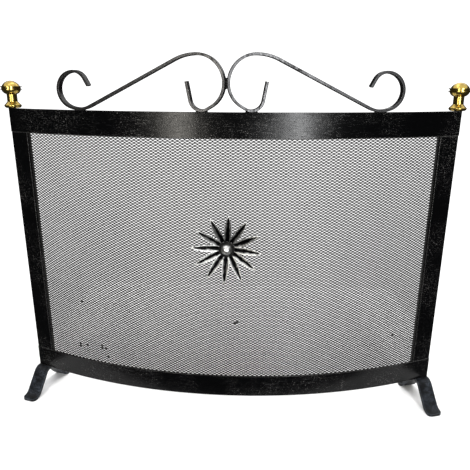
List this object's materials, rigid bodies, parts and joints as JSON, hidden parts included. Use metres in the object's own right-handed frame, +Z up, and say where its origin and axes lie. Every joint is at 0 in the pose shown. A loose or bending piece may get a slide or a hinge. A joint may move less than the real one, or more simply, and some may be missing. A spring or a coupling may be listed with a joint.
{
  "type": "fireplace screen",
  "caption": "Bow-fronted free-standing fireplace screen: flat-bar frame with expanded-metal mesh, scroll crest, turned finials, rosette and arched feet.",
  "frame": {"origin": "middle of the base of the whole screen's box, on the floor under the feet", "axes": "+X to the viewer's right along the screen's width, +Y from the bowed front towards the fire, +Z up"},
  "size_m": [0.6354, 0.1194, 0.5052],
  "materials": {
    "frame_black": "semi-gloss black paint, scuffed and rubbed on its edges",
    "foot_black": "black paint worn blue-grey",
    "mesh_black": "satin dark expanded metal",
    "scroll_steel": "dull drawn steel with dark streaks",
    "weld_dark": "dark weld metal",
    "polished_brass": "polished",
    "rosette_steel": "antiqued steel, dark in the hollows and bright on the ridges",
    "rosette_dark": "dark patinated",
    "fixing_steel": "plain zinc-plated steel"
  },
  "bodies": {
    "root": {"top_rail": "frame_black", "bottom_rail": "frame_black", "left_stile": "frame_black", "right_stile": "frame_black", "top_strip": "frame_black", "bottom_strip": "frame_black", "left_strip": "frame_black", "right_strip": "frame_black", "left_foot": "foot_black", "right_foot": "foot_black", "mesh_panel": "mesh_black", "left_scroll": "scroll_steel", "right_scroll": "scroll_steel", "scroll_tie": "weld_dark", "scroll_welds": "weld_dark", "left_finial": "polished_brass", "right_finial": "polished_brass", "rosette_flower": "rosette_steel", "rosette_boss": "rosette_steel", "rosette_collar": "rosette_dark", "rosette_bolt": "fixing_steel", "rosette_washer": "fixing_steel", "rosette_nut": "fixing_steel", "left_finial_stud": "fixing_steel", "right_finial_stud": "fixing_steel"}
  },
  "joints": []
}
